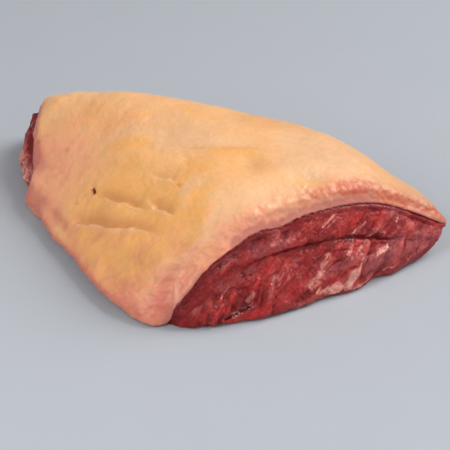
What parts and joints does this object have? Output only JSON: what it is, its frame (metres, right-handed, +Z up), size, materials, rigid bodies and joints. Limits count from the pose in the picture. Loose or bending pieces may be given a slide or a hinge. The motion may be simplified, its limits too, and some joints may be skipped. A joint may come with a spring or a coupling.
{
  "type": "picanha",
  "caption": "Raw whole beef rump cap lying fat side up: a rounded triangle of lean muscle, cut bare along its short side, under a thick wrapped cap of fat.",
  "frame": {"origin": "middle of the footprint's bounding box, on the flat underside that lies on the board", "axes": "+X along the long straight side towards the thin tip, +Y towards that long side, +Z up through the fat cap"},
  "size_m": [0.2716, 0.1742, 0.066],
  "materials": {
    "lean_meat": "moist raw beef, dark red with fine pale marbling and a soft sheen",
    "fat": "smooth waxy beef fat, cream to orange-yellow, pinker towards its edges, softly glossy"
  },
  "bodies": {
    "root": {"muscle": "lean_meat", "fat_cap": "fat"}
  },
  "joints": []
}
